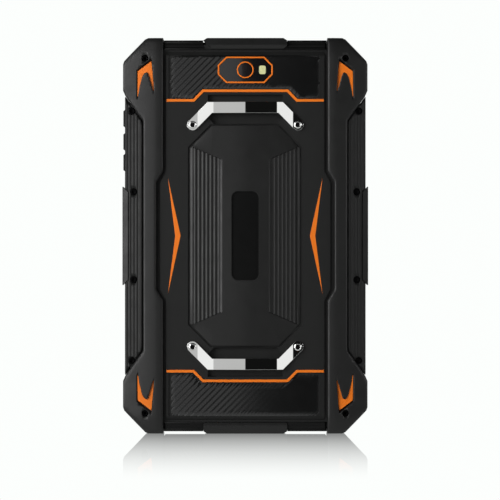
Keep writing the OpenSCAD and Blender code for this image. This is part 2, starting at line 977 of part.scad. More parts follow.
module rail_screws()
  color(dark_steel)
    both_sides()
      top_and_bottom()
        for (spot = rail_screw_spots)
          screw(spot[0], spot[1], y_rail + 0.3, 1.65, 1, 0.8, y_screw_tip);

// ---------- Display ----------

module touch_glass()
  color("#0b0d10")
    slab(y_glass_seat + 0.1, y_glass)
      rounded_rect(glass_w, glass_h, glass_r);

module display_gasket()
  color("#3f4246")
    slab(y_glass_seat, y_glass_seat + 0.1)
      difference() {
        rounded_rect(glass_w - 1, glass_h - 1, glass_r - 0.5);
        square([lcd_w + 1.6, lcd_h + 1.6], center = true);
        translate([0, glass_h / 2 - 5])
          circle(2.6);
      }

module lcd_panel()
  color("#1c2230")
    slab(y_lcd, y_glass_seat - 0.2)
      square([lcd_w, lcd_h], center = true);

// Cable from the display through the chassis to the board
module display_flex()
  color("#b06a28") {
    block([-12, y_lcd - 0.15, 51], [12, y_lcd - nil, 58]);
    block([-12, y_board + 1.2, 51], [12, y_lcd - 0.15 + nil, 51.3]);
    block([-12, y_board + 1.05, 51], [12, y_board + 1.2 + nil, 58]);
  }

module front_camera()
  color("#24272b")
    union() {
      pin(0, glass_h / 2 - 5, 2.2, y_lcd + 0.2, y_glass_seat);
      pin(0, glass_h / 2 - 5, 3.2, y_lcd - 1.4, y_lcd - 0.3);
      pin(0, glass_h / 2 - 5, 2.2, y_lcd - 0.3 - nil, y_lcd + 0.2 + nil);
    }

// ---------- Inside ----------

module battery_pack()
  color("#4a4f58")
    union() {
      block([-47, y_floor + 0.1, -45], [47, y_chassis - 0.2, 41]);
      // Protection circuit along its upper edge
      block([-34, y_floor + 0.6, 41 - nil], [34, y_chassis - 0.4, 44.5]);
    }

module main_board()
  color("#1e5a3a")
    difference() {
      slab(y_board, y_board + 1)
        polygon([[-60, 48.5], [60, 48.5], [60, 66], [37, 66], [37, 104.2], [-46, 104.2], [-60, 89]]);
      for (spot = board_spots)
        pin(spot[0], spot[1], 0.9, y_board - 1, y_board + 2);
      // Cut-outs for the jack and the front camera
      block([jack_x - 3.3, y_board - 1, 93.5], [jack_x + 3.3, y_board + 2, 107]);
      pin(0, glass_h / 2 - 5, 4, y_board - 1, y_board + 2);
    }

module shield_cans()
  color(steel) {
    block([-56, y_board - 1.8, 56], [-35, y_board - nil, 82]);
    block([-22, y_board - 1.8, 54.5], [22, y_board - nil, 79]);
    block([25.5, y_board - 1.8, 70], [35.5, y_board - nil, 92]);
  }

module board_screws()
  color(steel)
    for (spot = board_spots)
      screw(spot[0], spot[1], y_board - 0.9, 1.6, 0.9 - nil, 0.8, y_chassis + 1);

module usb_c_receptacle()
  color(steel)
    difference() {
      translate([usb_x, y_port, mid_z + core_half_h - 8.2])
        linear_extrude(8)
          rounded_rect(9, 3.1, 1.45);
      translate([usb_x, y_port, mid_z + core_half_h - 7])
        linear_extrude(8)
          rounded_rect(8.4, 2.5, 1.2);
    }

module audio_jack()
  color("#202225")
    difference() {
      union() {
        block([jack_x - 3, y_jack - jack_half_t, core_half_h - 15],
              [jack_x + 3, y_jack + jack_half_t, core_half_h - 1.7]);
        translate([jack_x, y_jack, mid_z + core_half_h - 1.7 - nil])
          cylinder(h = 1.6, r = 1.95);
      }
      translate([jack_x, y_jack, mid_z + core_half_h - 14])
        cylinder(h = 15, r = jack_bore_r);
    }

module card_socket()
  color(steel)
    difference() {
      block([card_x - 6.8, y_board - 1.9, core_half_h - 16],
            [card_x + 6.8, y_board - nil, core_half_h - 1.7]);
      block([card_x - 5.6, y_board - 1.3, core_half_h - 14.5],
            [card_x + 5.6, y_board - 0.4, core_half_h]);
    }

module speaker()
  color("#2a2c30")
    difference() {
      block([22, y_floor + 0.3, -104], [46, y_chassis - 1, -92]);
      block([26.6, -1.4, -105], [42.4, 1.4, -101]);
    }

module vibration_motor()
  color(steel)
    pin(-40, -72, 5, y_chassis - 2.9, y_chassis - 0.1);

module gnss_antenna()
  color("#c8b48a") {
    block([40, y_floor + 0.2, 70], [58, y_floor + 3.8, 88]);
    block([42, y_floor + 0.1, 72], [56, y_floor + 0.2 + nil, 86]);
  }

// ---------- Keys ----------

// Straight bar of a key or its opening, from outside to inside
module key_bar(z, width, length, x_out, x_in)
  block([-x_out, y_key - width / 2, z - length / 2], [-x_in, y_key + width / 2, z + length / 2]);

module side_key(z)
  color("#2f3133")
    union() {
      // Cap with slanted ends
      intersection() {
        key_bar(z, key_w, key_len, rail_out + key_proud, key_wall_x + 0.5);
        slab(y_rear, y_front)
          polygon([
            [-rail_out - key_proud, z - key_len / 2 + 1], [-rail_out - key_proud, z + key_len / 2 - 1],
            [-rail_out + 0.2, z + key_len / 2], [-60, z + key_len / 2],
            [-60, z - key_len / 2], [-rail_out + 0.2, z - key_len / 2]
          ]);
      }
      // Collar that keeps the key in its opening
      key_bar(z, key_w + 1.3, key_len + 1.1, key_wall_x + 1.1, key_wall_x + 0.5);
      translate([-key_wall_x - 0.5 - nil, y_key, mid_z + z])
        rotate([0, 90, 0])
          cylinder(h = 2.6, r = 1);
    }

module power_key()
  side_key(z_power);

module volume_up_key()
  side_key(z_volume_up);

module volume_down_key()
  side_key(z_volume_down);

module key_board()
  color("#1e5a3a")
    block([-key_board_x, y_key - 1.8, 36], [-key_board_x + 0.8, y_key + 1.5, 68.9]);

module key_domes()
  color(steel)
    for (z = key_heights)
      translate([-key_board_x - 0.35, y_key, mid_z + z])
        rotate([0, 90, 0])
          cylinder(h = 0.35 - nil, r = 1.5);

// ---------- Port cover ----------

module port_cover()
  color(rubber_black)
    difference() {
      union() {
        intersection() {
          difference() {
            slab(y_trim - 0.7, y_flange - 2)
              polygon(cap_outline);
            // Underside over the ports
            block([-half_w, y_ledge - 0.3, 0], [half_w, y_flange, z_cap_floor + 0.3]);
          }
          across(-half_w, half_w)
            polygon([[y_trim - 0.7, half_h - 1.2], [y_trim + 0.5, half_h], [y_flange, half_h],
                     [y_flange, 0], [y_trim - 0.7, 0]]);
        }
        // Plugs that close the USB port and the audio jack
        translate([usb_x, y_port, mid_z + z_cap_floor - plug_depth])
          linear_extrude(plug_depth + 0.4)
            rounded_rect(7.6, 2, 0.9);
        translate([jack_x, y_jack, mid_z + z_cap_floor - plug_depth])
          cylinder(h = plug_depth + 0.4, r = 1.3);
      }
      // Room for the tether, and for the end to turn in its seat
      block([17.9, -2.6, 0], [21.5, 2.6, z_cap_floor + 1.2]);
      slab(y_ledge - 0.3, y_flange)
        polygon([
          [cap_half + 0.5, z_cap_floor], [cap_half + 3, z_cap_floor], [cap_half + 3, z_cap_floor + 1.6]
        ]);
    }

// Fixed end of the rubber tether that the port cover swings on
module cover_anchor()
  color(rubber_black)
    block([18.6, -2, core_half_h + 0.1], [20.8, 2, z_cap_floor + 0.2]);

rear_cover();
front_frame();
chassis();
housing_seal();
bumper_left();
bumper_right();
rib_rail_left();
rib_rail_right();
side_insert_left();
side_insert_right();
top_edge_trim();
bottom_edge_trim();
bottom_guard();
palm_pad();
label_plate();
texture_panel_top();
texture_panel_bottom();
trim_line_top();
trim_line_bottom();
chevron_left();
chevron_right();
claw_top_left();
claw_top_right();
claw_bottom_left();
claw_bottom_right();
camera_frame();
camera_window();
lens_ring();
lens_glass();
camera_module();
flash_lens();
flash_led();
strap_bracket_top();
strap_bracket_bottom();
bracket_screws();
corner_screws();
rail_screws();
touch_glass();
display_gasket();
lcd_panel();
display_flex();
battery_pack();
main_board();
shield_cans();
board_screws();
usb_c_receptacle();
audio_jack();
card_socket();
speaker();
vibration_motor();
gnss_antenna();
key_board();
key_domes();
front_camera();
cover_anchor();
port_cover();
power_key();
volume_up_key();
volume_down_key();
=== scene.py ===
import json
import math

import bmesh
import bpy
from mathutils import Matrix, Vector


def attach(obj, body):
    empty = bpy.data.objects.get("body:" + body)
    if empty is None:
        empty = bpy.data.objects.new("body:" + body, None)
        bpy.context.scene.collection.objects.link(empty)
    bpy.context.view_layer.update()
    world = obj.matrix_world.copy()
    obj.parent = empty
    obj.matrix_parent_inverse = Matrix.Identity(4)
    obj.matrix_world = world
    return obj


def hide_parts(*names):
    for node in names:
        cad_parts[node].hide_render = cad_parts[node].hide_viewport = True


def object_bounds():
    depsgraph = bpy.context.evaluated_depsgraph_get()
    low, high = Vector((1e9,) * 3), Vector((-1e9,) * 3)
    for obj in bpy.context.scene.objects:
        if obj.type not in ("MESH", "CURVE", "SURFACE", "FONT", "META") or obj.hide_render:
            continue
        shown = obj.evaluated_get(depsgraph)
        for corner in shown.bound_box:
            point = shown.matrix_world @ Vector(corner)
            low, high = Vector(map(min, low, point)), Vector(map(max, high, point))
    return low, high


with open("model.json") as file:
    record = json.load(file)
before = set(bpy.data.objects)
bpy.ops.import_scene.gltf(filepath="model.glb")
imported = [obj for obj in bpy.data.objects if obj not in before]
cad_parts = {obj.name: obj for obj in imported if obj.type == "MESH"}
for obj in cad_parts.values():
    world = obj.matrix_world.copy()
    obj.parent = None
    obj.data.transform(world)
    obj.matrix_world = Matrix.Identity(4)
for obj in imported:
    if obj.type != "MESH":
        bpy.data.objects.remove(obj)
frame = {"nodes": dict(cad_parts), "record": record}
cad_low, cad_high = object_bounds()

MM = 0.001
NODES = frame["nodes"]
MID_Z = (cad_low.z + cad_high.z) / 2


# ---------- Materials ----------

def new_material(name):
    """A material with its Principled shader, and the links and nodes to build on."""
    made = bpy.data.materials.new(name)
    made.use_nodes = True
    tree = made.node_tree
    shader = tree.nodes["Principled BSDF"]
    return made, tree, shader


def map_range(tree, value, start, end, low, high):
    """A value mapped from start..end to low..high, and held there beyond them."""
    made = tree.nodes.new("ShaderNodeMapRange")
    limits = {"From Min": start, "From Max": end, "To Min": low, "To Max": high}
    for name, limit in limits.items():
        made.inputs[name].default_value = limit
    tree.links.new(value, made.inputs["Value"])
    return made.outputs["Result"]


def maths(tree, operation, *parts, kind="ShaderNodeMath"):
    """Result of a Math or Vector Math node. Each part is a socket or a plain value."""
    made = tree.nodes.new(kind)
    made.operation = operation
    for place, part in zip(made.inputs, parts):
        if isinstance(part, bpy.types.NodeSocket):
            tree.links.new(part, place)
        else:
            place.default_value = part
    return made.outputs["Value"] if operation == "LENGTH" else made.outputs[0]


def object_noise(tree, scale, detail=2.0, stretch=(1, 1, 1)):
    """Noise in the object's own coordinates, in waves per metre."""
    coords = tree.nodes.new("ShaderNodeTexCoord")
    mapping = tree.nodes.new("ShaderNodeMapping")
    mapping.inputs["Scale"].default_value = stretch
    noise = tree.nodes.new("ShaderNodeTexNoise")
    noise.inputs["Scale"].default_value = scale
    noise.inputs["Detail"].default_value = detail
    tree.links.new(coords.outputs["Object"], mapping.inputs["Vector"])
    tree.links.new(mapping.outputs["Vector"], noise.inputs["Vector"])
    return noise.outputs["Fac"]


def mottled_colour(tree, shader, colour, amount, scale):
    """Base colour that drifts a little lighter and darker over the surface."""
    ramp = tree.nodes.new("ShaderNodeValToRGB")
    ramp.color_ramp.elements[0].position = 0.3
    ramp.color_ramp.elements[1].position = 0.7
    ramp.color_ramp.elements[0].color = [c * (1 - amount) for c in colour] + [1]
    ramp.color_ramp.elements[1].color = [min(1, c * (1 + amount)) for c in colour] + [1]
    tree.links.new(object_noise(tree, scale), ramp.inputs["Fac"])
    tree.links.new(ramp.outputs["Color"], shader.inputs["Base Color"])


def varied_roughness(tree, shader, roughness, spread, scale):
    """Roughness that changes from patch to patch, as handling leaves it."""
    smoothest = max(0.02, roughness - spread)
    roughest = min(1, roughness + spread)
    varied = map_range(tree, object_noise(tree, scale), 0.3, 0.7, smoothest, roughest)
    tree.links.new(varied, shader.inputs["Roughness"])


def grain_bump(tree, shader, size, depth, stretch=(1, 1, 1)):
    """Fine surface grain: size is the width of one grain and depth its height, in metres."""
    bump = tree.nodes.new("ShaderNodeBump")
    bump.inputs["Distance"].default_value = depth
    bump.inputs["Strength"].default_value = 1.0
    tree.links.new(object_noise(tree, 1 / size, 3.0, stretch), bump.inputs["Height"])
    tree.links.new(bump.outputs["Normal"], shader.inputs["Normal"])


def moulded(name, colour, roughness, specular=0.5, grain=0.35 * MM, depth=0.008 * MM, mottle=0.08,
            patch=60, spread=0.05):
    """Moulded plastic or rubber with a fine grain."""
    made, tree, shader = new_material(name)
    shader.inputs["Specular IOR Level"].default_value = specular
    mottled_colour(tree, shader, colour, mottle, patch)
    varied_roughness(tree, shader, roughness, spread, 2.5 * patch)
    grain_bump(tree, shader, grain, depth)
    return made


def metal(name, colour, roughness, grain=0.2 * MM, depth=0.001 * MM, stretch=(1, 1, 1)):
    """Bare or plated metal, polished or brushed along the stretched direction."""
    made, tree, shader = new_material(name)
    shader.inputs["Metallic"].default_value = 1.0
    mottled_colour(tree, shader, colour, 0.02, 40)
    varied_roughness(tree, shader, roughness, 0.4 * roughness, 200)
    grain_bump(tree, shader, grain, depth, stretch)
    return made


def coated_glass(name, colour, roughness, coat):
    """Dark glass with a clear coat; its depth is shown by the colour below."""
    made, tree, shader = new_material(name)
    shader.inputs["Coat Weight"].default_value = coat
    shader.inputs["Coat Roughness"].default_value = 0.02
    shader.inputs["IOR"].default_value = 1.52
    mottled_colour(tree, shader, colour, 0.05, 25)
    varied_roughness(tree, shader, roughness, 0.01, 90)
    return made


# The names are the record's slots, with three more. The darker copy of case_plastic is painted shade
# for the edge trims, and the near-black socket colour is painted shade inside each screw's socket, where
# the recess is in shade; chrome_turned is a second finish of chrome.
MATERIALS = {
    "case_plastic": moulded("case_plastic", (0.0092, 0.0094, 0.0091), 0.54, 0.25),
    "bumper_rubber": moulded("bumper_rubber", (0.0088, 0.0089, 0.0087), 0.48, 0.33, depth=0.005 * MM),
    "pad_rubber": moulded("pad_rubber", (0.0088, 0.0089, 0.0087), 0.46, 0.30, grain=0.5 * MM),
    # Painted shade: case_plastic made darker for the edge trims, standing in for the shade on their
    # up-facing backs
    "trim_painted_shade": moulded("trim_painted_shade", (0.0040, 0.0041, 0.0040), 0.50, 0.14),
    "panel_plastic": moulded("panel_plastic", (0.0060, 0.0062, 0.0062), 0.16, 0.72, depth=0.0002 * MM,
                             mottle=0.03, spread=0.01),
    "label_film": moulded("label_film", (0.0042, 0.0043, 0.0043), 0.45, 0.08, depth=0.002 * MM),
    "orange_trim": moulded("orange_trim", (0.97, 0.215, 0.012), 0.38, 0.34, mottle=0.03),
    "window_black": coated_glass("window_black", (0.005, 0.005, 0.006), 0.08, 0.75),
    "lens_glass": coated_glass("lens_glass", (0.010, 0.008, 0.009), 0.05, 0.8),
    "flash_plastic": moulded("flash_plastic", (0.80, 0.82, 0.42), 0.25, 0.5, mottle=0.12, patch=900),
    "chrome": metal("chrome", (0.78, 0.785, 0.77), 0.035, depth=0.0002 * MM),
    "chrome_turned": metal("chrome_turned", (0.72, 0.72, 0.71), 0.28),
    "screw_steel": metal("screw_steel", (0.004, 0.004, 0.0042), 0.5),
    # Painted shade: a near-black colour for the floor and lower wall of each screw's socket, standing in
    # for the shade in the recess
    "socket_painted_shade": moulded("socket_painted_shade", (0.0015, 0.0015, 0.0016), 0.6, 0.1),
    "screen_glass": coated_glass("screen_glass", (0.006, 0.007, 0.009), 0.04, 0.9),
    "lcd": coated_glass("lcd", (0.012, 0.014, 0.018), 0.12, 0.3),
    "magnesium": metal("magnesium", (0.40, 0.41, 0.42), 0.55, grain=0.6 * MM, depth=0.02 * MM),
    "seal_rubber": moulded("seal_rubber", (0.05, 0.05, 0.055), 0.65),
    "battery_film": moulded("battery_film", (0.05, 0.053, 0.06), 0.35, grain=1.2 * MM),
    "board_green": moulded("board_green", (0.015, 0.10, 0.045), 0.40, grain=0.8 * MM, patch=300),
    "tin_plate": metal("tin_plate", (0.60, 0.61, 0.62), 0.28, stretch=(1, 1, 12)),
    "component_black": moulded("component_black", (0.018, 0.018, 0.020), 0.55),
    "ceramic": moulded("ceramic", (0.50, 0.42, 0.30), 0.6),
    "polyimide": moulded("polyimide", (0.38, 0.14, 0.025), 0.30),
    "led_phosphor": moulded("led_phosphor", (0.85, 0.76, 0.12), 0.5),
}
SLOTS = {row["node"]: row["material_slot"] for row in frame["record"]["subparts"]}


def dress(node, width):
    """Gives a CAD node its material, and rounds its sharp edges to a real moulded radius."""
    piece = NODES[node]
    for place in piece.material_slots:
        place.material = MATERIALS[SLOTS[node]]
    weld = piece.modifiers.new("weld", "WELD")
    weld.merge_threshold = 0.002 * MM
    if node != "rear_cover":
        # The cover's back is left in triangles: one face round all its openings would tear.
        flat = piece.modifiers.new("flat_faces", "DECIMATE")
        flat.decimate_type = "DISSOLVE"
        flat.angle_limit = math.radians(0.5)
    edge = piece.modifiers.new("edge_radius", "BEVEL")
    edge.width = width
    edge.segments = 2
    edge.limit_method = "ANGLE"
    edge.angle_limit = math.radians(25)
    edge.harden_normals = True
    edge.miter_outer = "MITER_ARC"


EDGE_RADII = {
    "rear_cover": 0.18, "front_frame": 0.25, "touch_glass": 0.25,
    "strap_bracket_top": 0.12, "strap_bracket_bottom": 0.12,
}

for node in NODES:
    dress(node, EDGE_RADII.get(node, 0.10) * MM)


# ---------- Pieces shaped in Blender ----------
# Sizes here are in millimetres. Outlines are (x, height above the middle), listed once round.

def with_lower_half(upper):
    """An outline made symmetrical about the middle height."""
    return upper + [(x, -z) for x, z in reversed(upper)]


def upside_down(outline):
    """The same outline at the other end of the case."""
    return [(x, -z) for x, z in outline]


def four_ways(x, z):
    """A point and its mirror images in the four quarters of the case."""
    return [(sx * x, sz * z) for sx in (-1, 1) for sz in (-1, 1)]


def steps(low, high, pitch):
    """Evenly spaced numbers from low to high, about pitch apart."""
    count = max(1, round((high - low) / pitch))
    return [low + (high - low) * i / count for i in range(count + 1)]


def edge_distance(x, z, outline):
    """Distance from a point to the nearest side of the outline."""
    best = 1e9
    for (ax, az), (bx, bz) in zip(outline, outline[1:] + outline[:1]):
        dx, dz = bx - ax, bz - az
        t = ((x - ax) * dx + (z - az) * dz) / (dx * dx + dz * dz)
        t = min(1, max(0, t))
        best = min(best, math.hypot(x - ax - t * dx, z - az - t * dz))
    return best


def rolled(d, radius):
    """How far a rounded edge has fallen, at a distance d from it."""
    if d >= radius:
        return 0
    return radius - math.sqrt(radius * radius - (radius - d) ** 2)


def smooth(value, low, high):
    """0 below low and 1 above high, with a smooth turn between them."""
    t = min(1, max(0, (value - low) / (high - low)))
    return t * t * (3 - 2 * t)


def cut_along(bm, point, across):
    """Adds the edges where a plane through point (x, z) crosses the mesh."""
    geometry = bm.verts[:] + bm.edges[:] + bm.faces[:]
    bmesh.ops.bisect_plane(bm, geom=geometry, dist=1e-5, plane_co=(point[0], 0, point[1]),
                           plane_no=(across[0], 0, across[1]))


def relief(outline, height, base, cuts, rings=(0.1, 0.3, 0.6)):
    """Plate whose back stands at height(x, z, distance from the edge), with walls down to base.
    The cuts are (point, direction across) pairs where the back gets edges to bend at."""
    bm = bmesh.new()
    face = bm.faces.new([bm.verts.new((x, 0, z)) for x, z in outline])
    done = 0
    for ring in rings:
        bmesh.ops.inset_region(bm, faces=[face], thickness=ring - done, use_even_offset=True)
        done = ring
    for point, across in cuts:
        cut_along(bm, point, across)
    for vert in bm.verts:
        x, _, z = vert.co
        vert.co.y = height(x, z, edge_distance(x, z, outline))
    rim = [edge for edge in bm.edges if edge.is_boundary]
    walls = bmesh.ops.extrude_edge_only(bm, edges=rim)["geom"]
    for vert in walls:
        if isinstance(vert, bmesh.types.BMVert):
            vert.co.y = base
    foot = [part for part in walls if isinstance(part, bmesh.types.BMEdge) and part.is_boundary]
    bmesh.ops.contextual_create(bm, geom=foot)
    return bm


def finished(bm, name, mirrored=False, sharp=35):
    """Turns a mesh in millimetres into a smooth-shaded object in the part's frame."""
    for vert in bm.verts:
        x, y, z = vert.co
        vert.co = (-x * MM if mirrored else x * MM, y * MM, MID_Z + z * MM)
    bmesh.ops.recalc_face_normals(bm, faces=bm.faces[:])
    mesh = bpy.data.meshes.new(name)
    bm.to_mesh(mesh)
    bm.free()
    mesh.shade_smooth()
    mesh.set_sharp_from_angle(angle=math.radians(sharp))
    piece = bpy.data.objects.new(name, mesh)
    bpy.context.collection.objects.link(piece)
    return piece


def stands_for(piece, node, body="housing"):
    """Gives a piece its body, slot and material, and hides the CAD node it stands for."""
    piece.data.materials.append(MATERIALS[SLOTS[node]])
    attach(piece, body)
    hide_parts(node)
    return piece


def upright(values):
    """Cuts along Z at each x."""
    return [((x, 0), (1, 0)) for x in values]


def level(values):
    """Cuts along X at each height."""
    return [((0, z), (0, 1)) for z in values]


def carve(piece, outline, floor, mirrored=False):
    """Sinks an outline into a piece down to the level floor."""
    flat = bmesh.new()
    flat.from_mesh(piece.data)
    bmesh.ops.triangulate(flat, faces=flat.faces[:])
    flat.to_mesh(piece.data)
    flat.free()
    bm = bmesh.new()
    side = -1 if mirrored else 1
    for y in (-12, floor):
        bm.faces.new([bm.verts.new((side * x, y, z)) for x, z in outline])
    bmesh.ops.bridge_loops(bm, edges=bm.edges[:])
    cutter = finished(bm, "cutter")
    boolean = piece.modifiers.new("carve", "BOOLEAN")
    boolean.operation = "DIFFERENCE"
    boolean.solver = "EXACT"
    boolean.object = cutter
    bpy.context.view_layer.update()
    carved = bpy.data.meshes.new_from_object(piece.evaluated_get(bpy.context.evaluated_depsgraph_get()))
    piece.modifiers.clear()
    piece.data = carved
    bpy.data.objects.remove(cutter)


def rounded(a, b, r):
    """Rectangle of half sizes a and b with round corners."""
    corners = [(a - r, b - r, 0), (r - a, b - r, 90), (r - a, r - b, 180), (a - r, r - b, 270)]
    return [(cx + r * math.cos(math.radians(start + t)), cz + r * math.sin(math.radians(start + t)))
            for cx, cz, start in corners for t in steps(0, 90, 15)]


def octagon(a, b, cut):
    """Rectangle of half sizes a and b with its corners cut off."""
    return with_lower_half([(-a, b - cut), (cut - a, b), (a - cut, b), (a, b - cut)])


def disc(x, z, radius, sides=24):
    """Outline of a round hole."""
    turn = 2 * math.pi / sides
    return [(x + radius * math.cos(turn * i), z + radius * math.sin(turn * i)) for i in range(sides)]


# Sides of the back: the crest at CREST_X stands at Y_CREST, and falls by SIDE_FALL to HALF_W
HALF_W = 69.9
Y_CREST = -7.8
CREST_X = 50.8
SIDE_FALL = 3.3


def case_side(x, z):
    """Level of the rounded sides of the back, falling outwards from the crest, and a little inwards."""
    outwards = abs(x) - CREST_X
    if outwards > 0:
        fall = SIDE_FALL * (outwards / (HALF_W - CREST_X)) ** 1.35
    else:
        fall = 0.3 * (-outwards / 4) ** 2
    ends = 3.2 * smooth(abs(z), 101, 121)
    return Y_CREST + fall + ends


BUMPER = with_lower_half([
    (-50.9, 30.4), (-46.9, 36.9), (-46.9, 113), (-55.4, 113), (-57.2, 112.2),
    (-69.2, 99.9), (-69.9, 98), (-69.9, 83), (-68.4, 79.6), (-58.3, 65.6),
])
CLAW_TIPS = [(-52.1, 82.9), (-53.4, 97.9), (-53.7, 99.5), (-61.3, 93.8), (-61.5, 79.4)]
CLAW_NOTCH = [
    (-61.0, 80.6), (-60.6, 83.6), (-59.9, 86.4), (-59.2, 89.2), (-58.5, 91.2), (-57.6, 92.6),
    (-56.4, 93.2), (-55.6, 92.7), (-55.0, 91.0), (-54.5, 89.1), (-53.5, 85.6), (-52.6, 82.6),
]
CLAW = CLAW_TIPS + CLAW_NOTCH
CLAW_ROOM = [
    (-51.9, 82.4), (-53.1, 97.9), (-53.4, 101.4), (-61.8, 94.6), (-61.8, 78.6), (-61.2, 78.6),
] + CLAW_NOTCH
RAIL = with_lower_half([(-59.0, 65.2), (-68.8, 78.5)])
INSERT = with_lower_half([(-67.1, 25.0), (-69.9, 28.0)])
INSERT_ROOM = with_lower_half([(-66.6, 25.0), (-71.5, 30.3)])

# Screws in one quarter of the case
CORNER_SCREW = (57.2, 101.3)
RAIL_SCREWS = [(64.8, 71.3), (63.7, 25.1)]
BRACKET_SCREW = (30, 63.3)


def with_front_of(piece, node, y_cut):
    """Adds to a shaped back the part of the CAD piece in front of the level y_cut, with rounded edges."""
    front = bmesh.new()
    front.from_mesh(NODES[node].data)
    bmesh.ops.remove_doubles(front, verts=front.verts[:], dist=1e-6)
    geometry = front.verts[:] + front.edges[:] + front.faces[:]
    bmesh.ops.bisect_plane(front, geom=geometry, dist=1e-7, plane_co=(0, y_cut * MM, 0),
                           plane_no=(0, -1, 0), clear_outer=True)
    bmesh.ops.dissolve_limit(front, angle_limit=math.radians(0.5), verts=front.verts[:],
                             edges=front.edges[:])
    corners = [edge for edge in front.edges if edge.calc_face_angle(0) > math.radians(30)]
    bmesh.ops.bevel(front, geom=corners, offset=0.25 * MM, segments=2, affect="EDGES",
                    clamp_overlap=True)
    rim = [edge for edge in front.edges if edge.is_boundary]
    bmesh.ops.triangle_fill(front, edges=rim, use_beauty=True)
    bmesh.ops.recalc_face_normals(front, faces=front.faces[:])
    front_mesh = bpy.data.meshes.new("front")
    front.to_mesh(front_mesh)
    front.free()
    whole = bmesh.new()
    whole.from_mesh(piece.data)
    whole.from_mesh(front_mesh)
    whole.to_mesh(piece.data)
    whole.free()
    bpy.data.meshes.remove(front_mesh)
    piece.data.shade_smooth()
    piece.data.set_sharp_from_angle(angle=math.radians(50))


def bumper(node, mirrored):
    """One rubber moulding: both corners and the strip between them."""
    def back(x, z, d):
        return case_side(x, z) + rolled(d, 0.6)

    cuts = upright(steps(-69.5, -47.5, 0.8)) + level(steps(-112.5, 112.5, 2.5))
    top = relief(BUMPER, back, -2.5, cuts, rings=(0.06, 0.2, 0.6))
    piece = finished(top, node + "_moulding", mirrored)
    for flip in (list, upside_down):
        carve(piece, flip(CLAW_ROOM), -5.4, mirrored)
        carve(piece, flip(disc(-CORNER_SCREW[0], CORNER_SCREW[1], 2.0)), -5.2, mirrored)
    with_front_of(piece, node, -3.0)
    stands_for(piece, node)


def rail(node, mirrored):
    """Ribbed rail, with soft grooves along it."""
    def back(x, z, d):
        groove = 0.5 + 0.5 * math.cos(2 * math.pi * (x + 67.0) / 1.95)
        near_edge = smooth(d, 0.5, 0.9)
        return case_side(x, z) + 0.5 + 0.22 * groove ** 2 * near_edge + rolled(d, 0.3)

    cuts = upright(steps(-68.4, -58.8, 0.16)) + level(steps(-77, 77, 2.8))
    top = relief(RAIL, back, -3.3, cuts, rings=(0.1, 0.3))
    piece = finished(top, node + "_ribs", mirrored)
    carve(piece, INSERT_ROOM, -3.35, mirrored)
    for x, z in RAIL_SCREWS:
        for half in (1, -1):
            carve(piece, disc(-x, half * z, 2.15), -3.6, mirrored)
    with_front_of(piece, node, -3.5)
    stands_for(piece, node)


def insert(node, mirrored):
    """Smooth grip insert let into the side of a rail."""
    def back(x, z, d):
        return case_side(x, z) + 0.05 * (abs(x) - 67.2) + rolled(d, 0.3)

    cuts = upright(steps(-70, -67.6, 0.4))
    top = relief(INSERT, back, -3.0, cuts, rings=(0.08, 0.2, 0.35))
    piece = finished(top, node + "_grip", mirrored)
    with_front_of(piece, node, -3.2)
    stands_for(piece, node)


# Pad: its crest, and the fields of ribs between FIELD_IN and FIELD_OUT, as high as FIELD_TOP there
Y_PAD = -7.4
FIELD_OUT = 30.1
FIELD_IN = 13.3
FIELD_TOP = (50.9, 43.6)


def palm_pad():
    """Rubber pad with a crowned spine between two sunk fields of upright ribs."""
    slope = (FIELD_TOP[0] - FIELD_TOP[1]) / (FIELD_OUT - FIELD_IN)

    def back(x, z, d):
        edge = rolled(d, 0.35) + 0.4 * (1 - smooth(d, 0, 1.4))
        outwards = max(0, abs(x) - FIELD_IN)
        crown = 0.078 * (abs(x) - 4 * (1 - math.exp(-abs(x) / 4)))
        top = FIELD_TOP[1] + slope * outwards
        ribs = 0.5 - 0.5 * math.cos(2 * math.pi * (abs(x) - 14.85) / 2.28)
        inside = smooth(top - abs(z), 0, 0.4) * smooth(FIELD_OUT - abs(x), 0, 0.4)
        inside *= min(1, max(0, abs(x) - FIELD_IN) / 1.4)
        return Y_PAD + edge + crown + inside * (0.42 + 0.24 * ribs)

    across = steps(-FIELD_OUT, -FIELD_IN, 0.2) + steps(FIELD_IN, FIELD_OUT, 0.2)
    across += steps(-12.9, 12.9, 0.6)
    cuts = upright(across)
    for side in (-1, 1):
        for half in (-1, 1):
            for back_off in (-0.3, 0, 0.2, 0.4):
                point = (side * FIELD_IN, half * (FIELD_TOP[1] - back_off))
                cuts.append((point, (-side * half * slope, 1)))
    pad = relief(octagon(31.75, 62.65, 12.7), back, -4.2, cuts, rings=(0.08, 0.2, 0.4, 0.9, 1.4))
    piece = finished(pad, "palm_pad_moulding")
    carve(piece, rounded(7.9, 25.6, 3.9), Y_PAD + 1.2)
    piece.data.shade_smooth()
    piece.data.set_sharp_from_angle(angle=math.radians(35))
    stands_for(piece, "palm_pad")


def label():
    """Blank plate on the pad, very slightly dished."""
    def back(x, z, d):
        return Y_PAD + 0.85 + 0.1 * (x / 7.5) ** 2 + rolled(d, 0.25)

    outline = rounded(7.55, 25.25, 3.6)
    plate = relief(outline, back, Y_PAD + 1.18, upright(steps(-7, 7, 1)), rings=(0.06, 0.25))
    stands_for(finished(plate, "label_plate_film"), "label_plate")


RIB_PITCH = 3.65
RIB_DEPTH = 0.042


